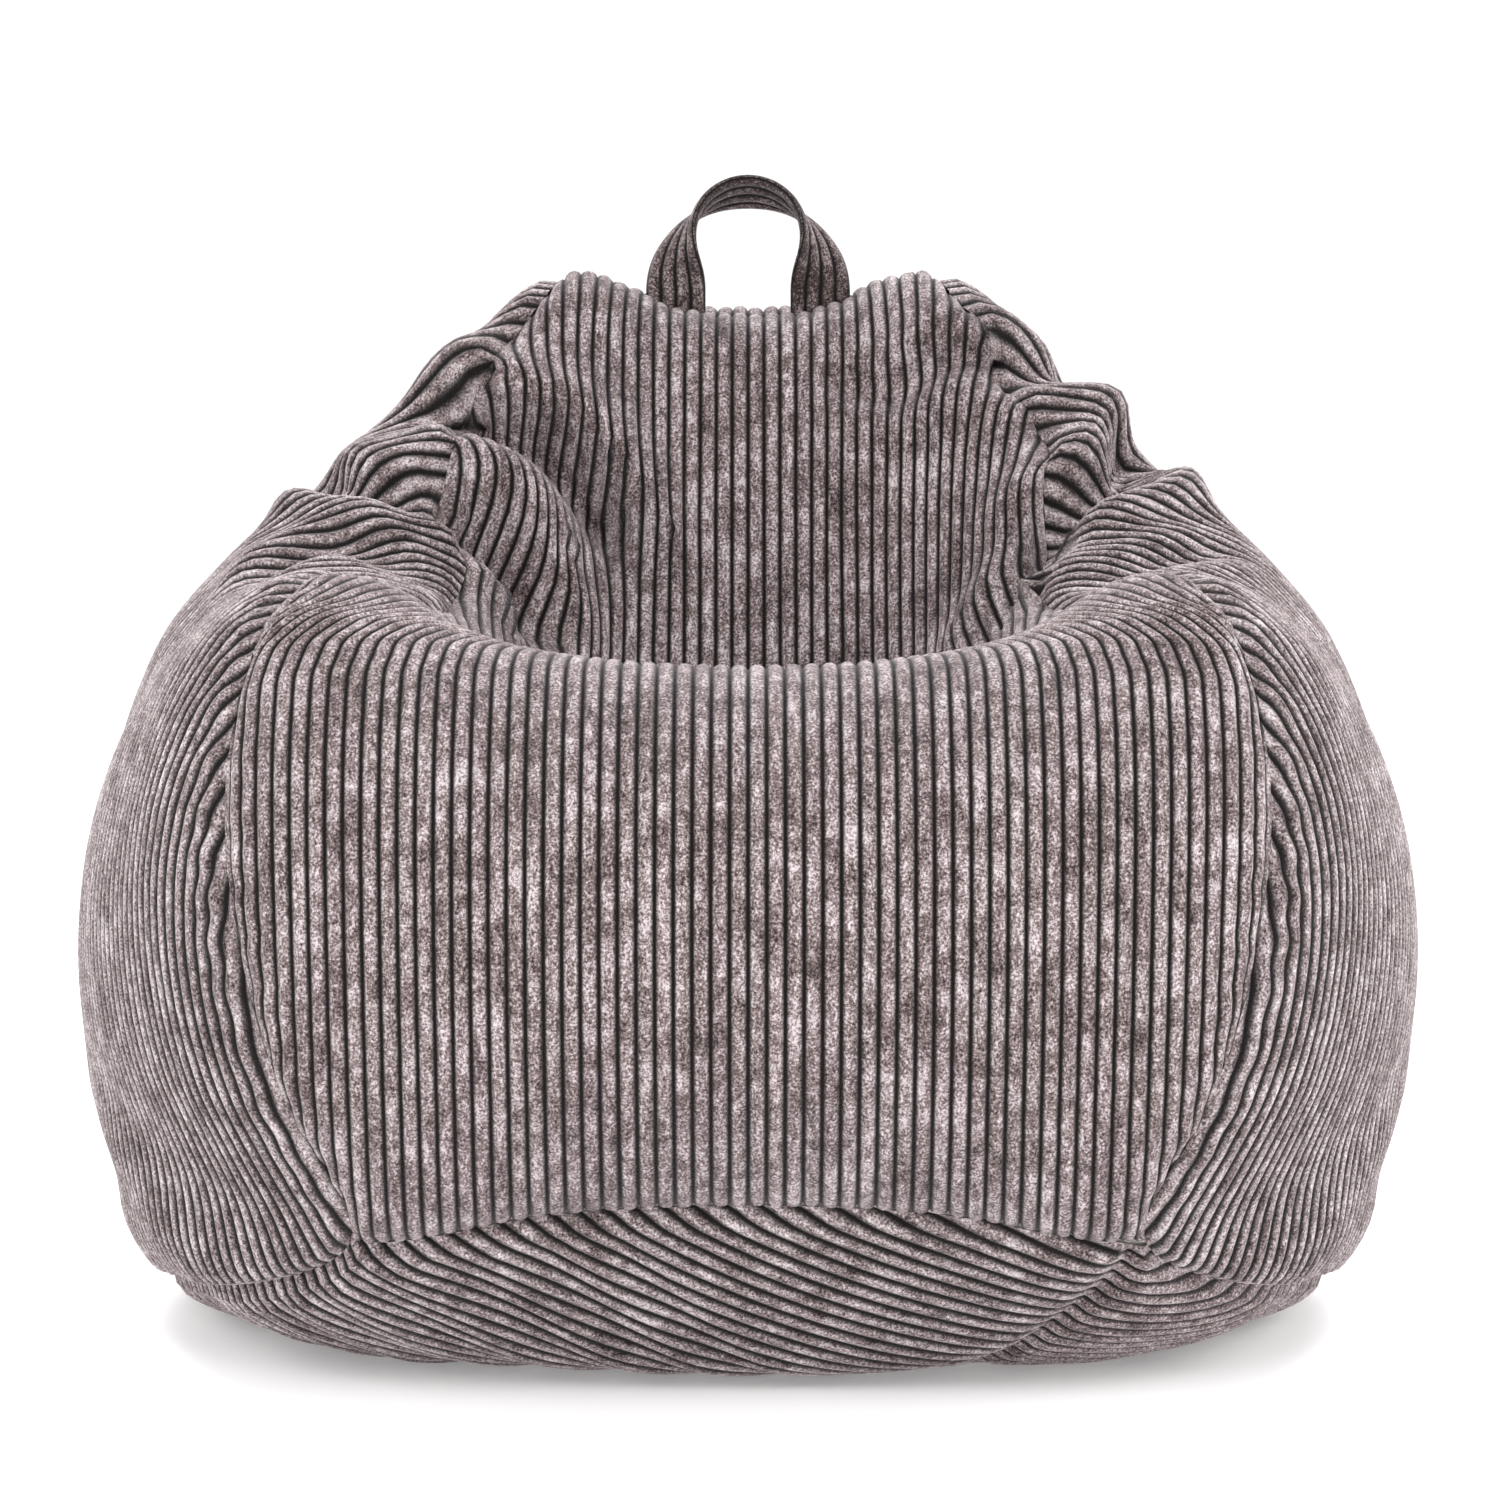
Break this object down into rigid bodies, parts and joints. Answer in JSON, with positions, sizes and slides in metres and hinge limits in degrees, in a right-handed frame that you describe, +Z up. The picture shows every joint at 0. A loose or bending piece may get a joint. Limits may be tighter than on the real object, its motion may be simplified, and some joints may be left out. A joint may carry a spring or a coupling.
{
  "type": "bean bag chair",
  "caption": "Soft bead-filled floor chair with a scooped seat, rounded arms, a raised back and a grab loop on top, in wide-wale corduroy with a zipped base.",
  "frame": {"origin": "on the floor, under the middle of the bag", "axes": "+Z up, the front of the seat faces -Y, +X is to the right as seen from the front"},
  "size_m": [0.9, 0.8718, 0.7574],
  "materials": {
    "corduroy": "wide-wale corduroy, mottled grey taupe pile",
    "zip_tape": "woven polyester tape",
    "zip_teeth": "nylon coil",
    "zip_metal": "nickel plated, tumbled",
    "liner_cloth": "thin plain-weave polyester",
    "liner_zip_teeth": "white nylon coil",
    "beads": "expanded polystyrene beads"
  },
  "bodies": {
    "bag": {"seat_panel": "corduroy", "left_side_panel": "corduroy", "right_side_panel": "corduroy", "back_panel": "corduroy", "base_front_panel": "corduroy", "base_back_panel": "corduroy", "cover_zip_tape_front": "zip_tape", "cover_zip_tape_back": "zip_tape", "cover_zip_teeth_front": "zip_teeth", "cover_zip_teeth_back": "zip_teeth", "cover_zip_stop_closed": "zip_metal", "cover_zip_stop_open": "zip_metal", "liner_front": "liner_cloth", "liner_back": "liner_cloth", "liner_zip_tape_front": "liner_cloth", "liner_zip_tape_back": "liner_cloth", "liner_zip_teeth_front": "liner_zip_teeth", "liner_zip_teeth_back": "liner_zip_teeth", "liner_zip_stop_closed": "zip_metal", "liner_zip_stop_open": "zip_metal", "bead_fill": "beads"},
    "handle": {"handle_strap": "corduroy"},
    "cover_slider": {"cover_zip_slider": "zip_metal"},
    "liner_slider": {"liner_zip_slider": "zip_metal"}
  },
  "joints": [
    {"name": "handle_fold", "type": "hinge", "parent": "bag", "child": "handle", "pos_m": [0, 0.195, 0.673], "axis": [1, 0, 0], "range_deg": [-65, 65], "stiffness_Nm_per_rad": 0.05},
    {"name": "cover_zip_slide", "type": "slide", "parent": "bag", "child": "cover_slider", "axis": [0.6691, -0.7431, 0], "range_m": [0, 0.465]},
    {"name": "liner_zip_slide", "type": "slide", "parent": "bag", "child": "liner_slider", "axis": [0.6691, -0.7431, 0], "range_m": [0, 0.38]}
  ]
}
